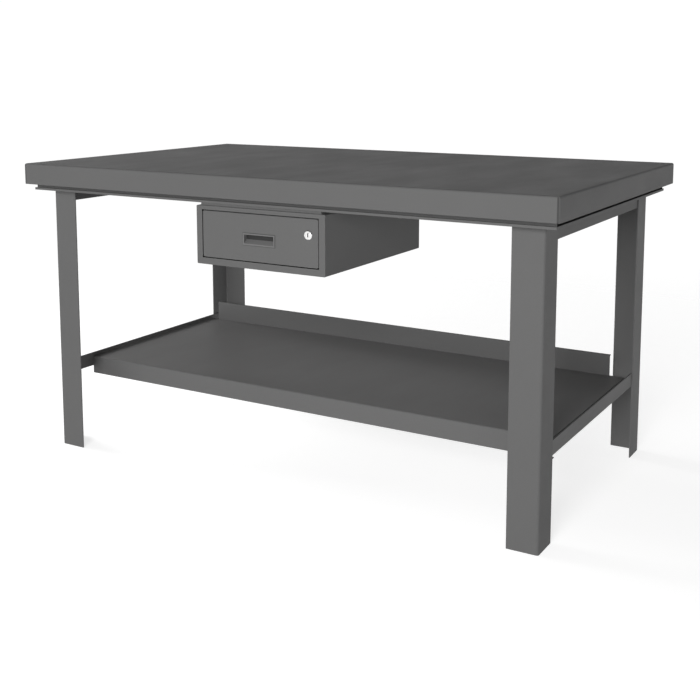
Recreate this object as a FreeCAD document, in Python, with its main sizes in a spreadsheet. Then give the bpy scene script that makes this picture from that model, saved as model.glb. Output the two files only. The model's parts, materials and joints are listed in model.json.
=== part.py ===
"""Steel workbench with one lockable drawer, built as a parametric document of separate pieces.

Frame of the part: X runs along the bench, +Y points to the rear, +Z up.  The origin lies on the
floor, below the middle of the bench top.  All sizes are in millimetres.
"""

import FreeCAD, Part
import os
import Sketcher
from FreeCAD import Rotation, Vector

doc = FreeCAD.newDocument("workbench")
dims = doc.addObject("Spreadsheet::Sheet", "dims")

DRIVING_SIZES = {
    # bench top: a folded sheet pan
    "top_width": 1524,
    "top_depth": 914.4,
    "bench_height": 800,
    "apron_drop": 56,
    "top_gauge": 2.7,
    "top_bend": 5,
    "top_return": 25,
    "seam_width": 1.2,
    "seam_depth": 2.4,
    "seam_inset": 1.8,
    # mounting frame of flat bars below the pan
    "frame_gap": 11,
    "frame_overhang": 36,
    "bar_width": 76,
    "bar_gauge": 6,
    "cross_bar_width": 38,
    # channels between the pan and the frame
    "channel_width": 40,
    "channel_gauge": 3,
    "channel_bend": 4,
    "channel_setback": 9,
    "channel_pitch": 345,
    "end_channel_inset": 47,
    "closer_gauge": 2,
    "closer_height": 40,
    "closer_inset": 25,
    "closer_end_inset": 2,
    "closer_end_height": 10.5,
    # legs
    "leg_size": 76.2,
    "leg_gauge": 3,
    "leg_bend": 6,
    "leg_inset": 50.8,
    "front_inset": 59.2,
    "rear_inset": 79.7,
    # side rails
    "rail_size": 38,
    "rail_gauge": 3,
    "rail_bend": 4,
    "rail_end_gap": 4,
    "cope_gap": 2,
    "shelf_rail_bottom": 199,
    # shelf
    "shelf_height": 227,
    "shelf_gauge": 2,
    "shelf_bend": 4,
    "shelf_setback": 123,
    "shelf_depth": 562,
    "shelf_drop": 51,
    "shelf_lip": 14,
    "side_lip": 16,
    "fit_gap": 0.2,
    "shelf_play": 12,
    "flange_gap": 2,
    "backstop_height": 57,
    "backstop_width": 1328,
    "backstop_shift": -12,
    "hem": 9,
    "hem_bend": 2.5,
    "stiffener_gauge": 1.5,
    "stiffener_bend": 3,
    "stiffener_end_gap": 1,
    "stiffener_pitch": 200,
    # drawer housing
    "housing_width": 376,
    "housing_height": 147,
    "housing_depth": 483,
    "housing_gauge": 1.5,
    "housing_bend": 2.5,
    "housing_flange": 25,
    "housing_hang": 7,
    "housing_setback": 1,
    "spacer_setback": 2,
    "spacer_inset": 12,
    "spacer_width": 23,
    "hanger_front": 30,
    "hanger_rear": 60,
    "border_side": 17,
    "border_bottom": 16.5,
    "border_top": 10,
    "header_depth": 25,
    "header_drop": 22,
    # drawer
    "drawer_gap": 2,
    "front_thick": 15,
    "front_gauge": 1.5,
    "front_corner": 5,
    "box_width": 314,
    "box_height": 86,
    "box_lift": 31,
    "box_gauge": 1.2,
    "box_bend": 2,
    "bumper_length": 12,
    "bumper_radius": 8,
    "bumper_gap": 0.5,
    # roller slides
    "slide_width": 12.7,
    "slide_gauge": 1.5,
    "slide_lift": 39,
    "slide_inner": 19.6,
    "slide_ceiling": 7.7,
    "slide_front_gap": 1.5,
    "slide_rear_gap": 18,
    "bracket_height": 36,
    "bracket_drop": 6,
    "roller_radius": 9.5,
    "roller_width": 6,
    "roller_bore": 2.56,
    "pin_radius": 2.5,
    "roller_gap": 0.3,
    "roller_notch": 4,
    "front_roller_setback": 15,
    "rear_roller_setback": 11,
    "front_roller_rise": 2.2,
    "front_roller_inset": 3.5,
    "rear_roller_inset": 3,
    "pin_head": 0.8,
    "pin_rim": 1.5,
    "runner_gauge": 1.2,
    "runner_width": 9.5,
    "runner_lift": 3.5,
    # pull and lock
    "pull_width": 93,
    "pull_height": 29,
    "pull_rim": 2.2,
    "pull_proud": 1,
    "pull_depth": 12.5,
    "pull_wall": 1.2,
    "pull_drop": 4,
    "pull_sill": 1,
    "lock_side": 142,
    "lock_height": 669,
    "bezel_radius": 10.75,
    "bezel_thick": 2.5,
    "bezel_chamfer": 1,
    "barrel_radius": 9,
    "barrel_length": 28,
    "nut_flat": 12,
    "nut_thick": 4,
    "plug_radius": 6,
    "plug_proud": 0.4,
    "plug_play": 0.05,
    "key_slot_width": 2.6,
    "key_slot_height": 9.4,
    "key_slot_depth": 5,
    "stub_radius": 3,
    "tapping_radius": 2,
    "tapping_depth": 8.2,
    "cam_gap": 0.2,
    "cam_length": 40,
    "cam_width": 12,
    "cam_thick": 2,
    "cam_corner": 3,
    "cam_screw_radius": 1.9,
    "cam_screw_head": 5,
    "cam_screw_chamfer": 1,
    # fasteners
    "bolt_radius": 4,
    "screw_radius": 3,
    "hole_play": 0.3,
}

for row, (alias, size) in enumerate(DRIVING_SIZES.items(), start=1):
    dims.set(f"A{row}", alias)
    dims.set(f"B{row}", str(size))
    dims.setAlias(f"B{row}", alias)
doc.recompute()

# Places that several pieces share, as expressions on the sheet.
LEG_X = "(dims.top_width / 2 - dims.leg_inset)"
LEG_FRONT = "(dims.front_inset - dims.top_depth / 2)"
LEG_REAR = "(dims.top_depth / 2 - dims.rear_inset)"
PAN_UNDERSIDE = "(dims.bench_height - dims.top_gauge)"
FRAME_TOP = "(dims.bench_height - dims.apron_drop - dims.frame_gap)"
FRAME_BOTTOM = f"({FRAME_TOP} - dims.bar_gauge)"
FRAME_X = f"({LEG_X} + dims.frame_overhang)"
FRAME_FRONT = f"({LEG_FRONT} - dims.frame_overhang)"
FRAME_REAR = f"({LEG_REAR} + dims.frame_overhang)"
RAIL_X = f"({LEG_X} - dims.leg_gauge)"
RAIL_FRONT = f"({LEG_FRONT} + dims.leg_gauge + dims.rail_end_gap)"
RAIL_REAR = f"({LEG_REAR} - dims.leg_gauge - dims.rail_end_gap)"
SHELF_FRONT = f"({LEG_FRONT} + dims.shelf_setback)"
SHELF_REAR = f"({SHELF_FRONT} + dims.shelf_depth)"
SHELF_X = f"({RAIL_X} - dims.rail_gauge - dims.fit_gap)"
SHELF_ENDS = {"left": f"(-{SHELF_X})", "right": f"({SHELF_X} - dims.shelf_play)"}
SHELF_SEAT = "(dims.shelf_rail_bottom + dims.rail_gauge)"
SHELF_UNDERSIDE = "(dims.shelf_height - dims.shelf_gauge)"
HOUSING_X = "(dims.housing_width / 2)"
HOUSING_TOP = f"({FRAME_BOTTOM} - dims.housing_hang)"
HOUSING_BOTTOM = f"({HOUSING_TOP} - dims.housing_height)"
HOUSING_FRONT = f"({FRAME_FRONT} + dims.housing_setback)"
HOUSING_REAR = f"({HOUSING_FRONT} + dims.housing_depth)"
FACE_REAR = f"({HOUSING_FRONT} + dims.housing_gauge)"
BACK_FRONT = f"({HOUSING_REAR} - dims.housing_gauge)"
WALL_X = f"({HOUSING_X} - dims.housing_gauge)"
OPENING_X = f"({HOUSING_X} - dims.border_side)"
OPENING_BOTTOM = f"({HOUSING_BOTTOM} + dims.border_bottom)"
OPENING_TOP = f"({HOUSING_TOP} - dims.border_top)"
PANEL_X = f"({OPENING_X} - dims.drawer_gap)"
PANEL_BOTTOM = f"({OPENING_BOTTOM} + dims.drawer_gap)"
PANEL_TOP = f"({OPENING_TOP} - dims.drawer_gap)"
PULL_Z = f"(({PANEL_BOTTOM} + {PANEL_TOP}) / 2 - dims.pull_drop)"
PANEL_REAR = f"({HOUSING_FRONT} + dims.front_thick)"
BOX_X = "(dims.box_width / 2)"
BOX_BOTTOM = f"({HOUSING_BOTTOM} + dims.box_lift)"
BOX_TOP = f"({BOX_BOTTOM} + dims.box_height)"
BOX_REAR = f"({BACK_FRONT} - dims.bumper_length - dims.bumper_gap)"
SLIDE_X = f"({BOX_X} + dims.slide_width)"
SLIDE_Z = f"({HOUSING_BOTTOM} + dims.slide_lift)"
SLIDE_FRONT = f"({PANEL_REAR} + dims.slide_front_gap)"
SLIDE_REAR = f"({BACK_FRONT} - dims.slide_rear_gap)"
FRONT_ROLLER_Y = f"({SLIDE_FRONT} + dims.front_roller_setback)"
REAR_ROLLER_Y = f"({SLIDE_REAR} - dims.rear_roller_setback)"
REAR_ROLLER_Z = f"({SLIDE_Z} + dims.slide_gauge + dims.roller_gap + dims.roller_radius)"
FRONT_ROLLER_Z = f"({REAR_ROLLER_Z} + dims.front_roller_rise)"
RUNNER_Z = f"({FRONT_ROLLER_Z} + dims.roller_radius + dims.roller_gap)"
LOCK_CAM_Y = f"({HOUSING_FRONT} + dims.barrel_length + dims.cam_gap + dims.cam_thick)"
SIDES = {"left": -1, "right": 1}

# Proportions of a bolt or nut, as shares of its shank's radius.
HEAD_HEIGHT = 1.3
HEAD_CORNER = 1.85
TAIL = 0.6

# A cut this long, begun CLEAR outside a sheet, runs right through it; OVER is a short overshoot.
THROUGH = 20
CLEAR = 5
OVER = 1


def number(expression):
    """The value of an expression on the sheet."""
    return float(dims.evalExpression(str(expression)))


def origin_plane(body, role):
    return next(part for part in body.Origin.OriginFeatures if part.Role == role)


def new_body(label, x=0, y=0, z=0):
    """A named body whose placement follows the sheet."""
    body = doc.addObject("PartDesign::Body", label)
    body.Label = label
    for axis, expression in zip("xyz", (x, y, z)):
        body.setExpression(f"Placement.Base.{axis}", str(expression))
    return body


def outline(body, name, plane, corners, lift=0):
    """A closed polygon whose corners are pairs of sheet expressions.

    XY has axes X and Y, XZ has X and Z, YZ has Y and Z.  The sketch lies at lift along its normal.
    """
    sketch = body.newObject("Sketcher::SketchObject", name)
    sketch.AttachmentSupport = [(origin_plane(body, f"{plane}_Plane"), "")]
    sketch.MapMode = "FlatFace"
    sketch.setExpression("AttachmentOffset.Base.z", str(lift))
    places = [Vector(number(u), number(v), 0) for u, v in corners]
    count = len(places)
    for index in range(count):
        sketch.addGeometry(Part.LineSegment(places[index], places[(index + 1) % count]), False)
    for index in range(count):
        sketch.addConstraint(Sketcher.Constraint("Coincident", index, 2, (index + 1) % count, 1))
    for index, (corner, place) in enumerate(zip(corners, places)):
        for kind, value, expression in zip(("DistanceX", "DistanceY"), place, corner):
            rule = sketch.addConstraint(Sketcher.Constraint(kind, -1, 1, index, 1, value))
            sketch.setExpression(f"Constraints[{rule}]", str(expression))
    return sketch


def disc(body, name, plane, centre, radius, lift=0):
    """A circle sketch with its centre and radius bound to the sheet."""
    sketch = body.newObject("Sketcher::SketchObject", name)
    sketch.AttachmentSupport = [(origin_plane(body, f"{plane}_Plane"), "")]
    sketch.MapMode = "FlatFace"
    sketch.setExpression("AttachmentOffset.Base.z", str(lift))
    place = Vector(number(centre[0]), number(centre[1]), 0)
    sketch.addGeometry(Part.Circle(place, Vector(0, 0, 1), number(radius)), False)
    rule = sketch.addConstraint(Sketcher.Constraint("Radius", 0, number(radius)))
    sketch.setExpression(f"Constraints[{rule}]", str(radius))
    for kind, value, expression in zip(("DistanceX", "DistanceY"), place, centre):
        rule = sketch.addConstraint(Sketcher.Constraint(kind, -1, 1, 0, 3, value))
        sketch.setExpression(f"Constraints[{rule}]", str(expression))
    return sketch


def rectangle(u_low, v_low, u_high, v_high):
    return [(u_low, v_low), (u_high, v_low), (u_high, v_high), (u_low, v_high)]


def pad(body, sketch, length, middle=False):
    feature = body.newObject("PartDesign::Pad", f"{sketch.Name}_pad")
    feature.Profile = sketch
    feature.setExpression("Length", str(length))
    feature.Midplane = middle
    doc.recompute()
    return feature


def pocket(body, sketch, length, middle=False, along_normal=False):
    """Cut the sketch out of the body and make sure that material really went."""
    before = body.Shape.Volume
    feature = body.newObject("PartDesign::Pocket", f"{sketch.Name}_pocket")
    feature.Profile = sketch
    feature.setExpression("Length", str(length))
    feature.Midplane = middle
    feature.Reversed = along_normal
    doc.recompute()
    assert body.Shape.Volume < before - 1e-3, f"{feature.Name} cuts nothing"
    return feature


def revolve(body, sketch):
    """Turn a half section in the YZ plane about the sketch's horizontal axis, which is Y."""
    feature = body.newObject("PartDesign::Revolution", f"{sketch.Name}_turned")
    feature.Profile = sketch
    feature.ReferenceAxis = (sketch, ["H_Axis"])
    feature.Angle = 360
    doc.recompute()
    return feature


def round_edges(body, name, radius, chosen):
    """Fillet the edges of the body's last feature for which chosen(edge's end points) holds."""
    base = body.Tip
    names = [
        f"Edge{index}"
        for index, edge in enumerate(base.Shape.Edges, start=1)
        if len(edge.Vertexes) == 2 and chosen(edge.Vertexes[0].Point, edge.Vertexes[1].Point)
    ]
    assert names, f"{name} finds no edge"
    feature = body.newObject("PartDesign::Fillet", name)
    feature.Base = (base, names)
    feature.setExpression("Radius", str(radius))
    doc.recompute()
    return feature


def bend(body, name, plane, radius, corners):
    """Round the folds of a section at the given corners, all along its length."""
    first, second = {"XY": (0, 1), "XZ": (0, 2), "YZ": (1, 2)}[plane]
    places = [(number(u), number(v)) for u, v in corners]

    def on_fold(start, end):
        for u, v in places:
            if all(abs(p[first] - u) + abs(p[second] - v) < 1e-4 for p in (start, end)):
                return True
        return False

    round_edges(body, name, radius, on_fold)


def block(label, low, high):
    """A flat bar or plate, from its low corner to its high corner."""
    box = doc.addObject("Part::Box", label)
    box.Label = label
    for size, axis, start, end in zip(("Length", "Width", "Height"), "xyz", low, high):
        box.setExpression(size, f"({end}) - ({start})")
        box.setExpression(f"Placement.Base.{axis}", str(start))
    return box


def upright(name, x, y, z, radius, height):
    """A vertical cylinder, used as a drill or as a shank."""
    rod = doc.addObject("Part::Cylinder", name)
    rod.setExpression("Radius", str(radius))
    rod.setExpression("Height", str(height))
    for axis, expression in zip("xyz", (x, y, z)):
        rod.setExpression(f"Placement.Base.{axis}", str(expression))
    return rod


def drilled(piece, label, places, radius):
    """Vertical clearance holes right through a piece; the result takes over its name."""
    reach = 12
    drills = [
        upright(f"{label}_drill{index}", x, y, f"{z} - {reach}", f"{radius} + dims.hole_play", 2 * reach)
        for index, (x, y, z) in enumerate(places)
    ]
    tools = doc.addObject("Part::Compound", f"{label}_drills")
    tools.Links = drills
    cut = doc.addObject("Part::Cut", f"{label}_drilled")
    cut.Base = piece
    cut.Tool = tools
    piece.Label = f"{label}_blank"
    cut.Label = label
    doc.recompute()
    assert cut.Shape.Volume < piece.Shape.Volume - 1e-3, f"{label} stays undrilled"
    return cut


def group(label, pieces):
    """Identical fasteners as separate solids of one node."""
    compound = doc.addObject("Part::Compound", label)
    compound.Label = label
    compound.Links = pieces
    return compound


def hexagon(name, x, y, z, radius, height):
    prism = doc.addObject("Part::Prism", name)
    prism.Polygon = 6
    prism.setExpression("Circumradius", str(radius))
    prism.setExpression("Height", str(height))
    for axis, expression in zip("xyz", (x, y, z)):
        prism.setExpression(f"Placement.Base.{axis}", str(expression))
    return prism


def bolts_and_nuts(stem, places, radius, low, high):
    """Hexagon bolts put in from below at low, with nuts that seat on high."""
    head = f"({radius} * {HEAD_HEIGHT})"
    corner = f"{radius} * {HEAD_CORNER}"
    bolts = []
    nuts = []
    for index, (x, y) in enumerate(places):
        cap = hexagon(f"{stem}_head{index}", x, y, f"{low} - {head}", corner, head)
        shank_height = f"({high}) - ({low}) + {head} * 2 + {radius} * {TAIL}"
        shank = upright(f"{stem}_shank{index}", x, y, f"{low} - {head}", radius, shank_height)
        bolt = doc.addObject("Part::Fuse", f"{stem}_bolt{index}")
        bolt.Base = cap
        bolt.Tool = shank
        bolts.append(bolt)
        blank = hexagon(f"{stem}_nut_blank{index}", x, y, high, corner, head)
        bore = upright(f"{stem}_nut_bore{index}", x, y, high, f"{radius} + dims.plug_play", head)
        nut = doc.addObject("Part::Cut", f"{stem}_nut{index}")
        nut.Base = blank
        nut.Tool = bore
        nuts.append(nut)
    return [group(f"{stem}_bolts", bolts), group(f"{stem}_nuts", nuts)]


def angle_section(u, v, to_u, to_v, size, gauge):
    """An L with its outer corner at u, v and its legs towards to_u and to_v, each -1 or +1."""
    return [
        (u, v),
        (f"{u} + {to_u} * {size}", v),
        (f"{u} + {to_u} * {size}", f"{v} + {to_v} * {gauge}"),
        (f"{u} + {to_u} * {gauge}", f"{v} + {to_v} * {gauge}"),
        (f"{u} + {to_u} * {gauge}", f"{v} + {to_v} * {size}"),
        (u, f"{v} + {to_v} * {size}"),
    ]


def bench_top():
    """The worktop: a pan of sheet with a deep apron and an inward return at its foot."""
    half_x = "dims.top_width / 2"
    half_y = "dims.top_depth / 2"
    gauge = "dims.top_gauge"
    body = new_body("bench_top", z="dims.bench_height - dims.apron_drop")
    plan = rectangle(f"-{half_x}", f"-{half_y}", half_x, half_y)
    pad(body, outline(body, "top_plan", "XY", plan), "dims.apron_drop")
    crown = number("dims.apron_drop")
    corner_x, corner_y = number(half_x), number(half_y)

    def outer_edge(start, end):
        vertical = abs(start.x - end.x) + abs(start.y - end.y) < 1e-6
        return vertical or (abs(start.z - crown) < 1e-6 and abs(end.z - crown) < 1e-6)

    round_edges(body, "top_outer_bend", "dims.top_bend", outer_edge)
    hollow = rectangle(
        f"-({half_x} - {gauge})", f"-({half_y} - {gauge})", f"{half_x} - {gauge}", f"{half_y} - {gauge}"
    )
    sketch = outline(body, "top_hollow", "XY", hollow, lift=gauge)
    pocket(body, sketch, f"dims.apron_drop - 2 * {gauge}", along_normal=True)
    inset = f"({gauge} + dims.top_return)"
    mouth = rectangle(
        f"-({half_x} - {inset})", f"-({half_y} - {inset})", f"{half_x} - {inset}", f"{half_y} - {inset}"
    )
    sketch = outline(body, "top_mouth", "XY", mouth, lift=f"-{gauge}")
    pocket(body, sketch, f"3 * {gauge}", along_normal=True)

    def inner_corner(start, end):
        vertical = abs(start.x - end.x) + abs(start.y - end.y) < 1e-6
        inside = abs(start.x) < corner_x - 1 and abs(start.y) < corner_y - 1
        return vertical and inside and abs(start.z - end.z) > crown / 2

    round_edges(body, "top_inner_bend", "dims.top_bend - dims.top_gauge", inner_corner)
    for index, end in enumerate((-1, 1)):
        near = f"{end} * ({half_y} - dims.seam_inset)"
        far = f"{end} * ({half_y} - dims.seam_inset - dims.seam_width)"
        seam = rectangle(near, -OVER, far, "dims.apron_drop - dims.top_bend")
        for side, sign in SIDES.items():
            lift = f"{sign} * ({half_x} - dims.seam_depth) - (1 - {sign}) / 2 * {CLEAR}"
            sketch = outline(body, f"seam_{side}{index}", "YZ", seam, lift=lift)
            pocket(body, sketch, CLEAR, along_normal=True)
    return body


def top_channel(label, x, opens):
    """A channel on edge below the pan; its web stands at x and its flanges point towards opens."""
    gauge = "dims.channel_gauge"
    width = "dims.channel_width"
    low = FRAME_TOP
    high = PAN_UNDERSIDE
    section = [
        (x, low),
        (f"{x} + {opens} * {width}", low),
        (f"{x} + {opens} * {width}", f"{low} + {gauge}"),
        (f"{x} + {opens} * {gauge}", f"{low} + {gauge}"),
        (f"{x} + {opens} * {gauge}", f"{high} - {gauge}"),
        (f"{x} + {opens} * {width}", f"{high} - {gauge}"),
        (f"{x} + {opens} * {width}", high),
        (x, high),
    ]
    rear = f"{FRAME_REAR} - dims.channel_setback"
    length = f"{rear} - ({FRAME_FRONT} + dims.channel_setback)"
    body = new_body(label, y=rear)
    pad(body, outline(body, f"{label}_section", "XZ", section), length)
    bend(body, f"{label}_bend", "XZ", "dims.channel_bend", [(x, low), (x, high)])
    return body


def top_closer(label, y):
    """A strip on the frame across the channels' ends; its own ends pass low, below the pan's returns."""
    foot = FRAME_TOP
    shoulder = f"({foot} + dims.closer_end_height)"
    crown = f"({foot} + dims.closer_height)"
    tip = f"({FRAME_X} - dims.closer_end_inset)"
    step = f"({FRAME_X} - dims.closer_inset)"
    right_half = [(tip, foot), (tip, shoulder), (step, shoulder), (step, crown)]
    left_half = [(f"-{u}", v) for u, v in reversed(right_half)]
    body = new_body(label, y=y)
    pad(body, outline(body, f"{label}_face", "XZ", right_half + left_half), "dims.closer_gauge")
    return body


def leg(label, side, end_y, inward):
    """A leg folded to an angle, with its outer corner at the bench's corner, open at its foot."""
    corner_x = f"{side} * {LEG_X}"
    body = new_body(label)
    section = angle_section(corner_x, end_y, -side, inward, "dims.leg_size", "dims.leg_gauge")
    pad(body, outline(body, f"{label}_section", "XY", section), FRAME_BOTTOM)
    bend(body, f"{label}_outer_bend", "XY", "dims.leg_bend", [section[0]])
    bend(body, f"{label}_inner_bend", "XY", "dims.leg_bend - dims.leg_gauge", [section[3]])
    return body


def upper_rail(label, side):
    """An angle between two legs: one leg hangs as a side face, the other lies below the frame."""
    body = new_body(label, y=RAIL_REAR)
    outer = f"{side} * {RAIL_X}"
    section = angle_section(outer, FRAME_BOTTOM, -side, -1, "dims.rail_size", "dims.rail_gauge")
    pad(body, outline(body, f"{label}_section", "XZ", section), f"{RAIL_REAR} - {RAIL_FRONT}")
    bend(body, f"{label}_bend", "XZ", "dims.rail_bend", [section[0]])
    return body


def shelf_rail(label, side):
    """The lower angle: the upright leg runs between the legs, the seat is coped at both ends."""
    low = "dims.shelf_rail_bottom"
    body = new_body(label, y=RAIL_REAR)
    section = angle_section(f"{side} * {RAIL_X}", low, -side, 1, "dims.rail_size", "dims.rail_gauge")
    pad(body, outline(body, f"{label}_section", "XZ", section), f"{RAIL_REAR} - {RAIL_FRONT}")
    bend(body, f"{label}_bend", "XZ", "dims.rail_bend", [section[0]])
    inner = f"{side} * ({RAIL_X} - dims.rail_gauge)"
    seat_edge = f"{side} * ({RAIL_X} - dims.rail_size - {OVER})"
    seat_front = f"{SHELF_FRONT} + dims.shelf_gauge + dims.cope_gap"
    seat_rear = f"{SHELF_REAR} - dims.cope_gap"
    copes = [
        ("front", f"{RAIL_FRONT} - {OVER}", seat_front),
        ("rear", seat_rear, f"{RAIL_REAR} + {OVER}"),
    ]
    for end, start, stop in copes:
        cope = rectangle(inner, f"{start} - {RAIL_REAR}", seat_edge, f"{stop} - {RAIL_REAR}")
        sketch = outline(body, f"{label}_{end}_cope", "XY", cope, lift=f"{low} - {OVER}")
        pocket(body, sketch, "dims.rail_size", along_normal=True)
    return body


def shelf():
    """One folded sheet: front flange with a lip, deck, side flanges and a hemmed backstop."""
    gauge = "dims.shelf_gauge"
    top = "dims.shelf_height"
    under = SHELF_UNDERSIDE
    foot = f"({top} - dims.shelf_drop)"
    body = new_body("shelf")
    deck = [
        (SHELF_FRONT, top),
        (SHELF_REAR, top),
        (SHELF_REAR, under),
        (f"{SHELF_FRONT} + {gauge}", under),
        (f"{SHELF_FRONT} + {gauge}", f"{foot} + {gauge}"),
        (f"{SHELF_FRONT} + dims.shelf_lip", f"{foot} + {gauge}"),
        (f"{SHELF_FRONT} + dims.shelf_lip", foot),
        (SHELF_FRONT, foot),
    ]
    width = f"{SHELF_ENDS['right']} - {SHELF_ENDS['left']}"
    pad(body, outline(body, "shelf_deck", "YZ", deck, lift=SHELF_ENDS["left"]), width)
    bend(body, "shelf_front_bend", "YZ", "dims.shelf_bend", [deck[0], deck[7]])
    rise = f"({top} + dims.backstop_height)"
    backstop = [
        (f"{SHELF_REAR} - {gauge}", under),
        (SHELF_REAR, under),
        (SHELF_REAR, f"{rise} - {gauge}"),
        (f"{SHELF_REAR} + dims.hem - {gauge}", f"{rise} - {gauge}"),
        (f"{SHELF_REAR} + dims.hem - {gauge}", rise),
        (f"{SHELF_REAR} - {gauge}", rise),
    ]
    backstop_left = "dims.backstop_shift - dims.backstop_width / 2"
    sketch = outline(body, "shelf_backstop", "YZ", backstop, lift=backstop_left)
    pad(body, sketch, "dims.backstop_width")
    bend(body, "shelf_hem_bend", "YZ", "dims.hem_bend", [backstop[5]])
    for side, sign in SIDES.items():
        edge = SHELF_ENDS[side]
        flange = [
            (edge, top),
            (edge, SHELF_SEAT),
            (f"{edge} - {sign} * dims.side_lip", SHELF_SEAT),
            (f"{edge} - {sign} * dims.side_lip", f"{SHELF_SEAT} + {gauge}"),
            (f"{edge} - {sign} * {gauge}", f"{SHELF_SEAT} + {gauge}"),
            (f"{edge} - {sign} * {gauge}", top),
        ]
        front = f"({SHELF_FRONT} + dims.shelf_bend + dims.flange_gap)"
        back = f"({SHELF_REAR} - {gauge} - dims.flange_gap)"
        sketch = outline(body, f"shelf_side_{side}", "XZ", flange, lift=f"-{back}")
        pad(body, sketch, f"{back} - {front}")
    return body


def shelf_stiffener(label, y, opens):
    """An angle below the deck, whose ends stand on the shelf rails' seats."""
    start = f"({SHELF_ENDS['left']} + dims.side_lip + dims.stiffener_end_gap)"
    end = f"({SHELF_ENDS['right']} - dims.side_lip - dims.stiffener_end_gap)"
    size = f"({SHELF_UNDERSIDE} - {SHELF_SEAT})"
    section = angle_section(y, SHELF_UNDERSIDE, opens, -1, size, "dims.stiffener_gauge")
    body = new_body(label)
    pad(body, outline(body, f"{label}_section", "YZ", section, lift=start), f"{end} - {start}")
    bend(body, f"{label}_bend", "YZ", "dims.stiffener_bend", [section[0]])
    return body


def housing_wrapper():
    """The drawer housing's sides and floor, folded from one sheet, with inward flanges on top."""
    gauge = "dims.housing_gauge"
    section = [
        (f"-{HOUSING_X}", HOUSING_BOTTOM),
        (HOUSING_X, HOUSING_BOTTOM),
        (HOUSING_X, HOUSING_TOP),
        (f"{HOUSING_X} - dims.housing_flange", HOUSING_TOP),
        (f"{HOUSING_X} - dims.housing_flange", f"{HOUSING_TOP} - {gauge}"),
        (WALL_X, f"{HOUSING_TOP} - {gauge}"),
        (WALL_X, f"{HOUSING_BOTTOM} + {gauge}"),
        (f"-{WALL_X}", f"{HOUSING_BOTTOM} + {gauge}"),
        (f"-{WALL_X}", f"{HOUSING_TOP} - {gauge}"),
        (f"-({HOUSING_X} - dims.housing_flange)", f"{HOUSING_TOP} - {gauge}"),
        (f"-({HOUSING_X} - dims.housing_flange)", HOUSING_TOP),
        (f"-{HOUSING_X}", HOUSING_TOP),
    ]
    body = new_body("housing_wrapper", y=HOUSING_REAR)
    sketch = outline(body, "wrapper_section", "XZ", section)
    pad(body, sketch, f"{HOUSING_REAR} - {FACE_REAR}")
    folds = [section[0], section[1], section[2], section[11]]
    bend(body, "wrapper_bend", "XZ", "dims.housing_bend", folds)
    return body


def housing_face_frame():
    """The border round the drawer's mouth."""
    body = new_body("housing_face_frame", y=FACE_REAR)
    outer = rectangle(f"-{HOUSING_X}", HOUSING_BOTTOM, HOUSING_X, HOUSING_TOP)
    pad(body, outline(body, "face_outer", "XZ", outer), "dims.housing_gauge")
    corners = [(f"{sign} * {HOUSING_X}", z) for sign in (-1, 1) for z in (HOUSING_BOTTOM, HOUSING_TOP)]
    bend(body, "face_corners", "XZ", "dims.housing_bend", corners)
    mouth = rectangle(f"-{OPENING_X}", OPENING_BOTTOM, OPENING_X, OPENING_TOP)
    sketch = outline(body, "face_mouth", "XZ", mouth, lift=-CLEAR)
    pocket(body, sketch, THROUGH, along_normal=True)
    return body


def housing_header():
    """An angle across the top of the housing's mouth, which the lock's cam also catches."""
    gauge = "dims.housing_gauge"
    high = f"({HOUSING_TOP} - {gauge})"
    back = f"({FACE_REAR} + dims.header_depth)"
    section = [
        (FACE_REAR, high),
        (back, high),
        (back, f"{high} - dims.header_drop"),
        (f"{back} - {gauge}", f"{high} - dims.header_drop"),
        (f"{back} - {gauge}", f"{high} - {gauge}"),
        (FACE_REAR, f"{high} - {gauge}"),
    ]
    body = new_body("housing_header")
    pad(body, outline(body, "header_section", "YZ", section), f"2 * {WALL_X}", middle=True)
    return body


def slide_bracket(label, side):
    """A channel welded to the housing's wall, which brings the slide out to the drawer."""
    gauge = "dims.slide_gauge"
    low = f"({SLIDE_Z} - dims.bracket_drop)"
    high = f"({low} + dims.bracket_height)"
    web = f"{side} * {SLIDE_X}"
    wall = f"{side} * {WALL_X}"
    section = [
        (web, low),
        (wall, low),
        (wall, f"{low} + {gauge}"),
        (f"{web} + {side} * {gauge}", f"{low} + {gauge}"),
        (f"{web} + {side} * {gauge}", f"{high} - {gauge}"),
        (wall, f"{high} - {gauge}"),
        (wall, high),
        (web, high),
    ]
    body = new_body(label, y=SLIDE_REAR)
    pad(body, outline(body, f"{label}_section", "XZ", section), f"{SLIDE_REAR} - {SLIDE_FRONT}")
    return body


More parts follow.
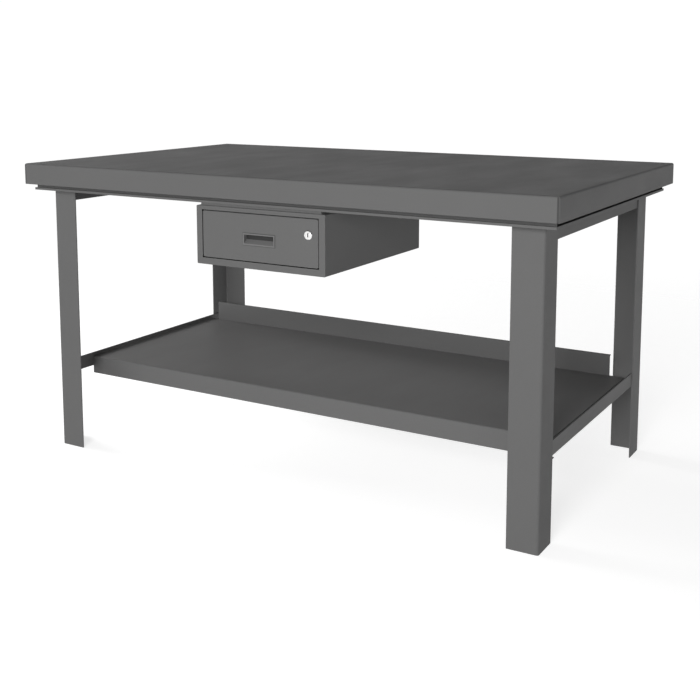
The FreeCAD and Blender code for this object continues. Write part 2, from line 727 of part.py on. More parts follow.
def cabinet_slide(label, side):
    """The fixed channel of a roller slide; its top flange stops behind the front roller."""
    gauge = "dims.slide_gauge"
    web = f"{side} * {SLIDE_X}"
    bottom_edge = f"{side} * ({BOX_X} + dims.runner_gauge + dims.roller_gap)"
    top_edge = f"{side} * ({SLIDE_X} - dims.slide_ceiling)"
    ceiling = f"({SLIDE_Z} + {gauge} + dims.slide_inner)"
    section = [
        (web, SLIDE_Z),
        (bottom_edge, SLIDE_Z),
        (bottom_edge, f"{SLIDE_Z} + {gauge}"),
        (f"{web} - {side} * {gauge}", f"{SLIDE_Z} + {gauge}"),
        (f"{web} - {side} * {gauge}", ceiling),
        (top_edge, ceiling),
        (top_edge, f"{ceiling} + {gauge}"),
        (web, f"{ceiling} + {gauge}"),
    ]
    body = new_body(label, y=SLIDE_REAR)
    pad(body, outline(body, f"{label}_section", "XZ", section), f"{SLIDE_REAR} - {SLIDE_FRONT}")
    clearing = f"{FRONT_ROLLER_Y} + dims.roller_radius + dims.roller_notch"
    notch = rectangle(
        f"{web} - {side} * {gauge}",
        f"{SLIDE_FRONT} - {OVER} - {SLIDE_REAR}",
        f"{side} * {BOX_X}",
        f"{clearing} - {SLIDE_REAR}",
    )
    sketch = outline(body, f"{label}_notch", "XY", notch, lift=f"{ceiling} - {OVER}")
    pocket(body, sketch, CLEAR, along_normal=True)
    return body


def drawer_runner(label, side):
    """The moving angle of a roller slide, whose top flange rides on the front roller."""
    gauge = "dims.runner_gauge"
    inner = f"{side} * {BOX_X}"
    outer = f"{side} * ({BOX_X} + dims.runner_width)"
    foot = f"{SLIDE_Z} + dims.runner_lift"
    section = [
        (inner, foot),
        (f"{inner} + {side} * {gauge}", foot),
        (f"{inner} + {side} * {gauge}", RUNNER_Z),
        (outer, RUNNER_Z),
        (outer, f"{RUNNER_Z} + {gauge}"),
        (inner, f"{RUNNER_Z} + {gauge}"),
    ]
    body = new_body(label, y=SLIDE_REAR)
    pad(body, outline(body, f"{label}_section", "XZ", section), f"{SLIDE_REAR} - {SLIDE_FRONT}")
    return body


def roller(label, side, y, z, near):
    """A plastic roller, turned about X; near is its inner face's distance from the drawer box."""
    low = f"{side} * ({BOX_X} + {near} + (1 - {side}) / 2 * dims.roller_width)"
    body = new_body(label, x=low, y=y, z=z)
    pad(body, disc(body, f"{label}_rim", "YZ", (0, 0), "dims.roller_radius"), "dims.roller_width")
    bore = disc(body, f"{label}_bore", "YZ", (0, 0), "dims.roller_bore", lift=-CLEAR)
    pocket(body, bore, THROUGH, along_normal=True)
    return body


def pin(name, side, y, z, head, shank_low, shank_high):
    """A riveted roller pin along X: a head at one end of its shank."""
    ends = {}
    for part, low, high, radius in (
        ("head", head, f"{head} + dims.pin_head", "dims.pin_radius + dims.pin_rim"),
        ("shank", shank_low, shank_high, "dims.pin_radius"),
    ):
        rod = doc.addObject("Part::Cylinder", f"{name}_{part}")
        rod.setExpression("Radius", radius)
        rod.setExpression("Height", f"({high}) - ({low})")
        rod.Placement.Rotation = Rotation(Vector(0, 1, 0), 90)
        start = low if side > 0 else high
        rod.setExpression("Placement.Base.x", f"{side} * ({BOX_X} + {start})")
        rod.setExpression("Placement.Base.y", str(y))
        rod.setExpression("Placement.Base.z", str(z))
        ends[part] = rod
    whole = doc.addObject("Part::Fuse", name)
    whole.Base = ends["head"]
    whole.Tool = ends["shank"]
    return whole


def drawer_box():
    """The drawer's tray: a floor, two sides and a back, which the front's liner closes."""
    gauge = "dims.box_gauge"
    body = new_body("drawer_box", z=BOX_BOTTOM)
    plan = rectangle(f"-{BOX_X}", PANEL_REAR, BOX_X, BOX_REAR)
    pad(body, outline(body, "box_plan", "XY", plan), "dims.box_height")
    mouth = number(PANEL_REAR)

    def fold(start, end):
        vertical = abs(start.x - end.x) + abs(start.y - end.y) < 1e-6
        at_mouth = abs(start.y - mouth) + abs(end.y - mouth) < 1e-6
        return not at_mouth and (vertical or abs(start.z) + abs(end.z) < 1e-6)

    round_edges(body, "box_bend", "dims.box_bend", fold)
    hollow = rectangle(
        f"-({BOX_X} - {gauge})", f"{PANEL_REAR} - {OVER}", f"{BOX_X} - {gauge}", f"{BOX_REAR} - {gauge}"
    )
    sketch = outline(body, "box_hollow", "XY", hollow, lift=gauge)
    pocket(body, sketch, "dims.box_height", along_normal=True)
    return body


def drawer_front():
    """The drawer's face: a shallow pan, open to the rear, cut out for the pull and the lock."""
    gauge = "dims.front_gauge"
    body = new_body("drawer_front", y=PANEL_REAR)
    face = rectangle(f"-{PANEL_X}", PANEL_BOTTOM, PANEL_X, PANEL_TOP)
    pad(body, outline(body, "front_face", "XZ", face), "dims.front_thick")
    bend(body, "front_corners", "XZ", "dims.front_corner", face)
    depth = number("dims.front_thick")

    def front_edge(start, end):
        return abs(start.y + depth) + abs(end.y + depth) < 1e-6

    round_edges(body, "front_fold", "dims.front_gauge", front_edge)
    hollow = rectangle(
        f"-({PANEL_X} - {gauge})",
        f"{PANEL_BOTTOM} + {gauge}",
        f"{PANEL_X} - {gauge}",
        f"{PANEL_TOP} - {gauge}",
    )
    sketch = outline(body, "front_hollow", "XZ", hollow, lift=-OVER)
    pocket(body, sketch, f"dims.front_thick - {gauge} + {OVER}", along_normal=True)
    half_width = "(dims.pull_width / 2 - dims.pull_rim + dims.hole_play)"
    half_height = "(dims.pull_height / 2 - dims.pull_rim + dims.hole_play)"
    window = rectangle(
        f"-{half_width}",
        f"{PULL_Z} - {half_height}",
        half_width,
        f"{PULL_Z} + {half_height}",
    )
    pocket(body, outline(body, "front_window", "XZ", window, lift=CLEAR), THROUGH, along_normal=True)
    centre = ("dims.lock_side", "dims.lock_height")
    hole = disc(body, "front_lock_hole", "XZ", centre, "dims.barrel_radius + dims.hole_play", lift=CLEAR)
    pocket(body, hole, THROUGH, along_normal=True)
    return body


def drawer_front_liner():
    """The flat sheet let into the front's rear, which carries the tray and closes its mouth."""
    body = new_body("drawer_front_liner", y=PANEL_REAR)
    half_width = f"({PANEL_X} - dims.front_gauge)"
    foot = f"{PANEL_BOTTOM} + dims.front_gauge"
    sheet = rectangle(f"-{half_width}", foot, half_width, f"{PANEL_TOP} - dims.front_gauge")
    pad(body, outline(body, "liner_sheet", "XZ", sheet), "dims.box_gauge")
    centre = ("dims.lock_side", "dims.lock_height")
    hole = disc(body, "liner_lock_hole", "XZ", centre, "dims.barrel_radius + dims.hole_play", lift=-CLEAR)
    pocket(body, hole, THROUGH, along_normal=True)
    return body


def recessed_pull():
    """A cup with a thin rim; its floor slopes up to the back, so that fingers hook under the top."""
    body = new_body("recessed_pull", y=HOUSING_FRONT, z=PULL_Z)
    half_width = "dims.pull_width / 2"
    half_height = "dims.pull_height / 2"
    rim = rectangle(f"-{half_width}", f"-{half_height}", half_width, half_height)
    pad(body, outline(body, "pull_rim", "XZ", rim), "dims.pull_proud")
    depth = "dims.pull_depth"
    cup = rectangle(
        f"-({half_width} - dims.pull_rim)",
        f"-({half_height} - dims.pull_rim)",
        f"{half_width} - dims.pull_rim",
        f"{half_height} - dims.pull_rim",
    )
    pad(body, outline(body, "pull_cup", "XZ", cup, lift=f"-{depth}"), depth)
    wall = "(dims.pull_rim + dims.pull_wall)"
    low = f"-({half_height} - {wall})"
    high = f"{half_height} - {wall}"
    back = f"{depth} - dims.pull_wall"
    mouth = f"-(dims.pull_proud + {OVER})"
    scoop = [
        (mouth, low),
        ("-dims.pull_proud", low),
        (back, "-dims.pull_sill"),
        (back, high),
        (mouth, high),
    ]
    sketch = outline(body, "pull_scoop", "YZ", scoop)
    pocket(body, sketch, f"dims.pull_width - 2 * {wall}", middle=True)
    return body


def lock_barrel():
    """The lock's fixed body: a bezel on the drawer's face and a barrel behind it, bored through."""
    body = new_body("lock_barrel", x="dims.lock_side", y=HOUSING_FRONT, z="dims.lock_height")
    bore = "dims.plug_radius + dims.plug_play"
    half = [
        ("-dims.bezel_thick", bore),
        ("-dims.bezel_thick", "dims.bezel_radius - dims.bezel_chamfer"),
        ("-dims.bezel_thick + dims.bezel_chamfer", "dims.bezel_radius"),
        ("0", "dims.bezel_radius"),
        ("0", "dims.barrel_radius"),
        ("dims.barrel_length", "dims.barrel_radius"),
        ("dims.barrel_length", bore),
    ]
    revolve(body, outline(body, "barrel_section", "YZ", half))
    return body


def lock_plug():
    """The turning plug, with a key slot in its face and a tapped stub for the cam."""
    body = new_body("lock_plug", x="dims.lock_side", y=HOUSING_FRONT, z="dims.lock_height")
    face = "-(dims.bezel_thick + dims.plug_proud)"
    seat = "dims.barrel_length + dims.cam_gap"
    tail = f"{seat} + dims.cam_thick"
    half = [
        (face, "0"),
        (face, "dims.plug_radius - dims.plug_proud"),
        (f"{face} + dims.plug_proud", "dims.plug_radius"),
        (seat, "dims.plug_radius"),
        (seat, "dims.stub_radius"),
        (tail, "dims.stub_radius"),
        (tail, "0"),
    ]
    revolve(body, outline(body, "plug_section", "YZ", half))
    half_width = "dims.key_slot_width / 2"
    half_height = "dims.key_slot_height / 2"
    slot = rectangle(f"-{half_width}", f"-{half_height}", half_width, half_height)
    sketch = outline(body, "plug_key_slot", "XZ", slot, lift=f"-({face}) - dims.key_slot_depth")
    pocket(body, sketch, f"dims.key_slot_depth + {CLEAR}", along_normal=True)
    lift = f"-({tail} + {CLEAR})"
    tapping = disc(body, "plug_tapping", "XZ", (0, 0), "dims.tapping_radius", lift=lift)
    pocket(body, tapping, f"dims.tapping_depth + {CLEAR}", along_normal=True)
    return body


def lock_cam():
    """The cam, which lies level while the drawer is free and turns up behind the header."""
    body = new_body("lock_cam", x="dims.lock_side", y=LOCK_CAM_Y, z="dims.lock_height")
    half = "dims.cam_width / 2"
    plate = rectangle("-dims.cam_length", f"-{half}", half, half)
    pad(body, outline(body, "cam_plate", "XZ", plate), "dims.cam_thick")
    bend(body, "cam_ends", "XZ", "dims.cam_corner", plate)
    bore = "dims.stub_radius + dims.plug_play / 2"
    hole = disc(body, "cam_hole", "XZ", (0, 0), bore, lift=-CLEAR)
    pocket(body, hole, 2 * CLEAR, along_normal=True)
    return body


def cam_screw():
    """The screw that holds the cam on the plug."""
    body = new_body("cam_screw", x="dims.lock_side", y=LOCK_CAM_Y, z="dims.lock_height")
    tip = "-(dims.tapping_depth - dims.cam_gap)"
    head_high = "dims.cam_screw_head / 2"
    half = [
        (tip, "0"),
        (tip, "dims.cam_screw_radius"),
        ("0", "dims.cam_screw_radius"),
        ("0", "dims.cam_screw_head"),
        (f"{head_high} - dims.cam_screw_chamfer", "dims.cam_screw_head"),
        (head_high, "dims.cam_screw_head - dims.cam_screw_chamfer"),
        (head_high, "0"),
    ]
    revolve(body, outline(body, "screw_section", "YZ", half))
    return body


def lock_nut():
    """The hexagon nut that clamps the barrel behind the drawer's face."""
    rear = f"{HOUSING_FRONT} + dims.front_gauge + dims.nut_thick"
    body = new_body("lock_nut", x="dims.lock_side", y=rear, z="dims.lock_height")
    angles = [60 * step for step in range(6)]
    corners = [
        (f"dims.nut_flat / cos(30) * cos({angle})", f"dims.nut_flat / cos(30) * sin({angle})")
        for angle in angles
    ]
    pad(body, outline(body, "nut_hexagon", "XZ", corners), "dims.nut_thick")
    bore = disc(body, "nut_bore", "XZ", (0, 0), "dims.barrel_radius + dims.plug_play", lift=-CLEAR)
    pocket(body, bore, THROUGH, along_normal=True)
    return body


# ---- top and mounting frame -------------------------------------------------------------------
parts = [bench_top()]

channel_webs = {
    "top_channel_left_end": (f"-({FRAME_X} - dims.end_channel_inset)", 1),
    "top_channel_left": ("-dims.channel_pitch", -1),
    "top_channel_middle": ("-dims.channel_width / 2", 1),
    "top_channel_right": ("dims.channel_pitch", 1),
    "top_channel_right_end": (f"({FRAME_X} - dims.end_channel_inset)", -1),
}
channels = {label: top_channel(label, x, opens) for label, (x, opens) in channel_webs.items()}

bar_rear_front = f"{FRAME_REAR} - dims.bar_width"
bar_front_rear = f"{FRAME_FRONT} + dims.bar_width"
low = (f"-{FRAME_X}", FRAME_FRONT, FRAME_BOTTOM)
front_bar = block("frame_bar_front", low, (FRAME_X, bar_front_rear, FRAME_TOP))
low = (f"-{FRAME_X}", bar_rear_front, FRAME_BOTTOM)
rear_bar = block("frame_bar_rear", low, (FRAME_X, FRAME_REAR, FRAME_TOP))

frame_bolt_x = {
    label: f"({x} + {opens} * (dims.channel_width + dims.channel_gauge) / 2)"
    for label, (x, opens) in channel_webs.items()
    if not label.endswith("_end")
}
front_bolt_y = f"({FRAME_FRONT} + dims.bar_width / 2)"
rear_bolt_y = f"({FRAME_REAR} - dims.bar_width / 2)"
frame_bolt_places = [(x, y) for x in frame_bolt_x.values() for y in (front_bolt_y, rear_bolt_y)]

for label, channel in channels.items():
    if label in frame_bolt_x:
        holes = [(frame_bolt_x[label], y, FRAME_TOP) for y in (front_bolt_y, rear_bolt_y)]
        channel = drilled(channel, label, holes, "dims.bolt_radius")
    parts.append(channel)
for bar, y in ((front_bar, front_bolt_y), (rear_bar, rear_bolt_y)):
    holes = [(x, y, FRAME_TOP) for x in frame_bolt_x.values()]
    parts.append(drilled(bar, bar.Label, holes, "dims.bolt_radius"))
channel_foot = f"{FRAME_TOP} + dims.channel_gauge"
parts += bolts_and_nuts("frame", frame_bolt_places, "dims.bolt_radius", FRAME_BOTTOM, channel_foot)

parts.append(top_closer("top_closer_front", f"({FRAME_FRONT} + dims.channel_setback)"))
parts.append(top_closer("top_closer_rear", f"({FRAME_REAR} - dims.channel_setback + dims.closer_gauge)"))

spacer_x = f"({HOUSING_X} - dims.spacer_inset)"
spacer_front = f"({FACE_REAR} + dims.spacer_setback)"
spacer_rear = f"({spacer_front} + dims.header_depth)"
low = (f"-{spacer_x}", spacer_front, HOUSING_TOP)
parts.append(block("housing_spacer_front", low, (spacer_x, spacer_rear, FRAME_BOTTOM)))
hanger_x = f"({HOUSING_X} - dims.housing_gauge - dims.housing_flange / 2)"
hanger_ys = [f"({bar_front_rear} + dims.hanger_front)", f"({HOUSING_REAR} - dims.hanger_rear)"]
for side, sign in SIDES.items():
    outer = f"{sign} * {FRAME_X}"
    inner = f"{sign} * ({FRAME_X} - dims.bar_width)"
    low_x, high_x = (inner, outer) if sign > 0 else (outer, inner)
    low = (low_x, bar_front_rear, FRAME_BOTTOM)
    parts.append(block(f"frame_bar_{side}", low, (high_x, bar_rear_front, FRAME_TOP)))
    middle = f"{sign} * {hanger_x}"
    half = "dims.cross_bar_width / 2"
    low = (f"{middle} - {half}", bar_front_rear, FRAME_BOTTOM)
    cross_bar = block(f"drawer_cross_bar_{side}", low, (f"{middle} + {half}", bar_rear_front, FRAME_TOP))
    holes = [(middle, y, FRAME_TOP) for y in hanger_ys]
    parts.append(drilled(cross_bar, f"drawer_cross_bar_{side}", holes, "dims.bolt_radius"))
    half = "dims.spacer_width / 2"
    low = (f"{middle} - {half}", spacer_rear, HOUSING_TOP)
    strip = block(f"housing_spacer_{side}", low, (f"{middle} + {half}", HOUSING_REAR, FRAME_BOTTOM))
    holes = [(middle, y, FRAME_BOTTOM) for y in hanger_ys]
    parts.append(drilled(strip, f"housing_spacer_{side}", holes, "dims.bolt_radius"))

# ---- legs and rails ---------------------------------------------------------------------------
for side, sign in SIDES.items():
    parts.append(leg(f"leg_front_{side}", sign, LEG_FRONT, 1))
    parts.append(leg(f"leg_rear_{side}", sign, LEG_REAR, -1))
    parts.append(upper_rail(f"upper_rail_{side}", sign))

# ---- shelf ------------------------------------------------------------------------------------
shelf_bolt_inset = "(dims.side_lip / 2 + dims.shelf_gauge)"
shelf_bolt_x = {side: f"({end} - {SIDES[side]} * {shelf_bolt_inset})" for side, end in SHELF_ENDS.items()}
shelf_middle = f"(({SHELF_FRONT} + {SHELF_REAR}) / 2)"
shelf_bolt_ys = [f"({shelf_middle} + {step} * dims.stiffener_pitch)" for step in (-1, 0, 1)]
shelf_bolt_places = [(x, y) for x in shelf_bolt_x.values() for y in shelf_bolt_ys]
holes = [(x, y, SHELF_SEAT) for x, y in shelf_bolt_places]
parts.append(drilled(shelf(), "shelf", holes, "dims.screw_radius"))
for side, sign in SIDES.items():
    label = f"shelf_rail_{side}"
    holes = [(shelf_bolt_x[side], y, SHELF_SEAT) for y in shelf_bolt_ys]
    parts.append(drilled(shelf_rail(label, sign), label, holes, "dims.screw_radius"))
for label, end in (("shelf_stiffener_front", -1), ("shelf_stiffener_rear", 1)):
    stiffener_y = f"{shelf_middle} + {end} * dims.stiffener_pitch / 2"
    parts.append(shelf_stiffener(label, stiffener_y, end))
seat_low = "dims.shelf_rail_bottom"
lip_top = f"{SHELF_SEAT} + dims.shelf_gauge"
parts += bolts_and_nuts("shelf", shelf_bolt_places, "dims.screw_radius", seat_low, lip_top)

# ---- drawer housing ---------------------------------------------------------------------------
hanger_places = [(f"{sign} * {hanger_x}", y) for sign in SIDES.values() for y in hanger_ys]
flange_low = f"{HOUSING_TOP} - dims.housing_gauge"
holes = [(x, y, HOUSING_TOP) for x, y in hanger_places]
parts.append(drilled(housing_wrapper(), "housing_wrapper", holes, "dims.bolt_radius"))
parts += bolts_and_nuts("housing", hanger_places, "dims.bolt_radius", flange_low, FRAME_TOP)
parts.append(housing_face_frame())
parts.append(housing_header())
back_low = (f"-{WALL_X}", BACK_FRONT, f"{HOUSING_BOTTOM} + dims.housing_gauge")
parts.append(block("housing_back", back_low, (WALL_X, HOUSING_REAR, flange_low)))

# ---- slides -----------------------------------------------------------------------------------
front_pins = []
rear_pins = []
web = "dims.slide_width - dims.slide_gauge"
front_inner = "(dims.front_roller_inset - dims.roller_gap)"
rear_outer = "(dims.rear_roller_inset + dims.roller_width + dims.roller_gap)"
for side, sign in SIDES.items():
    parts.append(slide_bracket(f"slide_bracket_{side}", sign))
    parts.append(cabinet_slide(f"cabinet_slide_{side}", sign))
    parts.append(drawer_runner(f"drawer_runner_{side}", sign))
    front = (sign, FRONT_ROLLER_Y, FRONT_ROLLER_Z)
    rear = (sign, REAR_ROLLER_Y, REAR_ROLLER_Z)
    parts.append(roller(f"front_roller_{side}", *front, "dims.front_roller_inset"))
    parts.append(roller(f"rear_roller_{side}", *rear, "dims.rear_roller_inset"))
    front_head = f"{front_inner} - dims.pin_head"
    front_pins.append(pin(f"front_pin_{side}", *front, front_head, front_inner, web))
    rear_pins.append(pin(f"rear_pin_{side}", *rear, rear_outer, "dims.runner_gauge", rear_outer))
parts.append(group("front_roller_pins", front_pins))
parts.append(group("rear_roller_pins", rear_pins))

# ---- drawer and lock --------------------------------------------------------------------------
parts += [drawer_box(), drawer_front(), drawer_front_liner(), recessed_pull()]
parts += [lock_barrel(), lock_nut(), lock_plug(), lock_cam(), cam_screw()]

bumpers = []
for side, sign in SIDES.items():
    bumper = doc.addObject("Part::Cylinder", f"bumper_{side}")
    bumper.setExpression("Radius", "dims.bumper_radius")
    bumper.setExpression("Height", "dims.bumper_length")
    bumper.Placement.Rotation = Rotation(Vector(1, 0, 0), 90)
    bumper.setExpression("Placement.Base.x", f"{sign} * dims.box_width / 3")
    bumper.setExpression("Placement.Base.y", BACK_FRONT)
    bumper.setExpression("Placement.Base.z", f"({BOX_BOTTOM} + {BOX_TOP}) / 2")
    bumpers.append(bumper)
parts.append(group("drawer_bumpers", bumpers))

# ---- check and write --------------------------------------------------------------------------
doc.recompute()
for item in doc.Objects:
    assert "Invalid" not in item.State and "Error" not in item.State, f"{item.Name}: {item.State}"
for part in parts:
    assert not part.Shape.isNull() and part.Shape.isValid(), f"{part.Label} has no valid shape"
    assert part.Shape.Solids, f"{part.Label} holds no solid"
os.makedirs("parts", exist_ok=True)
for part in parts:
    part.Shape.exportStep(f"parts/{part.Label}.step")
print(len(parts), "nodes,", sum(len(part.Shape.Solids) for part in parts), "solids")
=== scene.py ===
"""The looks of the steel workbench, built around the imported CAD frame.  Lengths are in metres."""

import json
import math

import bpy
from mathutils import Euler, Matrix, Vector


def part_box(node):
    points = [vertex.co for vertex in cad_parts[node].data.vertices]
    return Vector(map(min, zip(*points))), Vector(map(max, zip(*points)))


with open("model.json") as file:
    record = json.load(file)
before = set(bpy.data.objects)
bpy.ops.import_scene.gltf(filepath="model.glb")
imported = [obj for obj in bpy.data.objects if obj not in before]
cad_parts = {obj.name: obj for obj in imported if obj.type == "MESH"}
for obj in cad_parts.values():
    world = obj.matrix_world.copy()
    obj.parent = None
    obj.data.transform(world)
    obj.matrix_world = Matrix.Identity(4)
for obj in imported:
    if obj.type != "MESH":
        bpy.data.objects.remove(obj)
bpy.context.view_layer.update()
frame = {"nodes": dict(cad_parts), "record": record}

scene = bpy.context.scene
nodes = frame["nodes"]


# ---- shader building blocks -------------------------------------------------------------------
# How far a part's textures move along each axis for each step of its seed.
SEED_SHIFT = (1.37, 0.71, 2.11)
# The range that most of a noise texture's values fall in.
NOISE_BODY = (0.3, 0.7)
# How steeply a face looks up, from the first dust and painted light to the full amount.
LEVEL_NORMAL = (0.85, 0.97)
# How well the eased normal agrees with the true one, from flat sheet to a sharp edge.
SHARP_EDGE = (0.99, 0.8)
BEVEL_SAMPLES = 4


def is_number(value):
    return isinstance(value, (int, float))


class Recipe:
    """A material's node tree, with short calls for the nodes that the finishes share."""

    def __init__(self, name):
        self.material = bpy.data.materials.new(name)
        self.material.use_nodes = True
        self.tree = self.material.node_tree
        self.shader = self.tree.nodes["Principled BSDF"]
        self.place = self.tree.nodes.new("ShaderNodeTexCoord").outputs["Object"]

    def link(self, source, target):
        self.tree.links.new(source, target)

    def moved(self, seed, stretch=(1, 1, 1)):
        """The object's own coordinates, shifted by the seed so that no two parts look the same."""
        mapping = self.tree.nodes.new("ShaderNodeMapping")
        mapping.inputs["Location"].default_value = [seed * shift for shift in SEED_SHIFT]
        mapping.inputs["Scale"].default_value = stretch
        self.link(self.place, mapping.inputs["Vector"])
        return mapping.outputs["Vector"]

    def noise(self, where, scale, detail=3.0, rough=0.5):
        texture = self.tree.nodes.new("ShaderNodeTexNoise")
        texture.inputs["Scale"].default_value = scale
        texture.inputs["Detail"].default_value = detail
        texture.inputs["Roughness"].default_value = rough
        self.link(where, texture.inputs["Vector"])
        return texture.outputs["Fac"]

    def spread(self, source, low, high, to_low=0.0, to_high=1.0):
        """Map low..high of the source to to_low..to_high, clamped."""
        ranged = self.tree.nodes.new("ShaderNodeMapRange")
        ranged.inputs["From Min"].default_value = low
        ranged.inputs["From Max"].default_value = high
        ranged.inputs["To Min"].default_value = to_low
        ranged.inputs["To Max"].default_value = to_high
        self.link(source, ranged.inputs["Value"])
        return ranged.outputs["Result"]

    def maths(self, operation, first, second=0.0):
        node = self.tree.nodes.new("ShaderNodeMath")
        node.operation = operation
        for socket, value in zip(node.inputs, (first, second)):
            if is_number(value):
                socket.default_value = value
            else:
                self.link(value, socket)
        return node.outputs[0]

    def distance(self, source, middle):
        """How far the source lies from the middle, on either side."""
        return self.maths("ABSOLUTE", self.maths("SUBTRACT", source, middle))

    def blend(self, factor, first, second):
        """A colour between two others, each a colour or another node's output."""
        mix = self.tree.nodes.new("ShaderNodeMix")
        mix.data_type = "RGBA"
        if is_number(factor):
            mix.inputs["Factor"].default_value = factor
        else:
            self.link(factor, mix.inputs["Factor"])
        for socket, value in ((mix.inputs[6], first), (mix.inputs[7], second)):
            if isinstance(value, tuple):
                socket.default_value = (*value, 1)
            else:
                self.link(value, socket)
        return mix.outputs[2]

    def facing_up(self):
        """One on level faces that look up and zero on all others."""
        geometry = self.tree.nodes.new("ShaderNodeNewGeometry")
        split = self.tree.nodes.new("ShaderNodeSeparateXYZ")
        self.link(geometry.outputs["Normal"], split.inputs[0])
        return self.spread(split.outputs["Z"], *LEVEL_NORMAL)

    def axes(self):
        """The three coordinates of the place on the part, which are the frame's at rest."""
        split = self.tree.nodes.new("ShaderNodeSeparateXYZ")
        self.link(self.place, split.inputs[0])
        return split.outputs

    def darkened(self, colour, mask, share):
        """The colour with the share of it taken away where the mask is one."""
        left = self.maths("SUBTRACT", 1, self.maths("MULTIPLY", mask, share))
        scaled = self.tree.nodes.new("ShaderNodeVectorMath")
        scaled.operation = "SCALE"
        self.link(colour, scaled.inputs[0])
        self.link(left, scaled.inputs["Scale"])
        return scaled.outputs["Vector"]

    def bump(self, height, depth, strength, under=None):
        node = self.tree.nodes.new("ShaderNodeBump")
        node.inputs["Distance"].default_value = depth
        node.inputs["Strength"].default_value = strength
        self.link(height, node.inputs["Height"])
        if under is not None:
            self.link(under, node.inputs["Normal"])
        return node.outputs["Normal"]

    def rounded(self, radius):
        """The surface normal with its sharp edges eased."""
        node = self.tree.nodes.new("ShaderNodeBevel")
        node.samples = BEVEL_SAMPLES
        node.inputs["Radius"].default_value = radius
        return node.outputs["Normal"]

    def edge_mask(self, radius):
        """One on sharp edges and zero on flat sheet."""
        geometry = self.tree.nodes.new("ShaderNodeNewGeometry")
        dot = self.tree.nodes.new("ShaderNodeVectorMath")
        dot.operation = "DOT_PRODUCT"
        self.link(self.rounded(radius), dot.inputs[0])
        self.link(geometry.outputs["Normal"], dot.inputs[1])
        return self.spread(dot.outputs["Value"], *SHARP_EDGE)

    def finish(self, colour, roughness, relief, metallic=0.0):
        """Join the surface's colour, roughness and relief to the shader."""
        self.link(colour, self.shader.inputs["Base Color"])
        self.link(roughness, self.shader.inputs["Roughness"])
        self.link(relief, self.shader.inputs["Normal"])
        self.shader.inputs["Metallic"].default_value = metallic
        return self.material


def grey(value, warmth=0.0):
    return (value * (1 + warmth), value, value * (1 - warmth))


# ---- powder coat ------------------------------------------------------------------------------
COAT_TONE = 0.1
COAT_WARMTH = 0.004
COAT_GLOSS = 0.1
COAT_ROUGHNESS = (0.52, 0.64)
# Tones are given as multiples of the coat's own tone.
CLOUD_TONES = (0.965, 1.035)
GRAIN_TONES = (0.93, 1.07)
RUBBED_TONE = 2.1
GRAIN_SHARE = 0.4
RUBBED_RADIUS = 0.0012
EASED_RADIUS = 0.0009
# The dust's colour, which on the shelf's deck also serves as painted light that lifts it.
DUST_AND_LIGHT_COLOUR = grey(0.2, 0.02)
THIN_DUST_AND_LIGHT = 0.75

# For each kind of painted shade: the share of the colour that it takes away, and the distances from the
# feature between which it starts and is full, or is full and ends.
CUP_SHADE_SHARE = 0.75
CUP_SHADE_FROM_BACK = (0.0024, 0.0014)
RIM_SHADOW_SHARE = 0.45
RIM_SHADOW_WIDTH = (0.0006, 0.0022)
SEAM_SHADE_SHARE = 0.5
SEAM_SHADE_WIDTH = (0.0014, 0.0028)
SEAM_FROM_CORNER = 0.0046
APRON_SKIN = (0.0012, 0.0006)


def powder_coat(name, seed, tone, wear, dust_and_light, painted_shade):
    """Satin dark grey powder coat: orange peel, grain, faint clouds, rubbed edges, dust on decks that is
    partly painted light, and painted shade where given.
    """
    r = Recipe(name)
    where = r.moved(seed)
    clouds = r.noise(where, scale=3.2, detail=4.0, rough=0.55)
    speck = r.noise(where, scale=420, detail=2.0, rough=0.6)
    smudge = r.noise(r.moved(seed + 3, stretch=(1, 0.35, 1)), scale=9, detail=5.0, rough=0.62)

    base = r.blend(r.spread(clouds, *NOISE_BODY), *(grey(tone * part, COAT_WARMTH) for part in CLOUD_TONES))
    grained = r.blend(r.spread(speck, 0.25, 0.75), *(grey(tone * part) for part in GRAIN_TONES))
    rub = r.maths("MULTIPLY", r.edge_mask(RUBBED_RADIUS), r.spread(smudge, 0.45, 0.7, 0.15, 1.0))
    rub = r.maths("MULTIPLY", rub, wear)
    colour = r.blend(rub, r.blend(GRAIN_SHARE, base, grained), grey(tone * RUBBED_TONE))
    # Dust on level faces; on the shelf it is mostly painted light that lifts the deck.
    if dust_and_light:
        dust_and_light_film = r.maths("MULTIPLY", r.facing_up(), r.spread(smudge, *NOISE_BODY, THIN_DUST_AND_LIGHT * dust_and_light, dust_and_light))
        colour = r.blend(dust_and_light_film, colour, DUST_AND_LIGHT_COLOUR)
    # Painted shade: the colour darkened where the mask is one.
    if painted_shade is not None:
        colour = r.darkened(colour, *painted_shade(r))

    r.shader.inputs["Specular IOR Level"].default_value = COAT_GLOSS
    orange_peel = r.noise(where, scale=260, detail=1.5, rough=0.4)
    peel = r.bump(orange_peel, depth=0.0006, strength=0.10, under=r.rounded(EASED_RADIUS))
    relief = r.bump(speck, depth=0.0002, strength=0.12, under=peel)
    return r.finish(colour, r.spread(smudge, *NOISE_BODY, *COAT_ROUGHNESS), relief)


def cup_painted_shade(r):
    """Painted shade at the back of the pull's cup, above the ledge, standing for the shadow under the cup's
    top edge.
    """
    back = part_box("recessed_pull")[1][1]
    start, full = CUP_SHADE_FROM_BACK
    return r.spread(r.axes()["Y"], back - start, back - full), CUP_SHADE_SHARE


def rim_contact_shadow(r):
    """A thin painted contact shadow where the pull's rim meets the drawer's face."""
    cup_low, cup_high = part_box("recessed_pull")
    outside = []
    for axis, index in (("X", 0), ("Z", 2)):
        middle = (cup_low[index] + cup_high[index]) / 2
        half = (cup_high[index] - cup_low[index]) / 2
        outside.append(r.maths("SUBTRACT", r.distance(r.axes()[axis], middle), half))
    from_rim = r.maths("MAXIMUM", *outside)
    return r.spread(from_rim, *RIM_SHADOW_WIDTH, 1, 0), RIM_SHADOW_SHARE


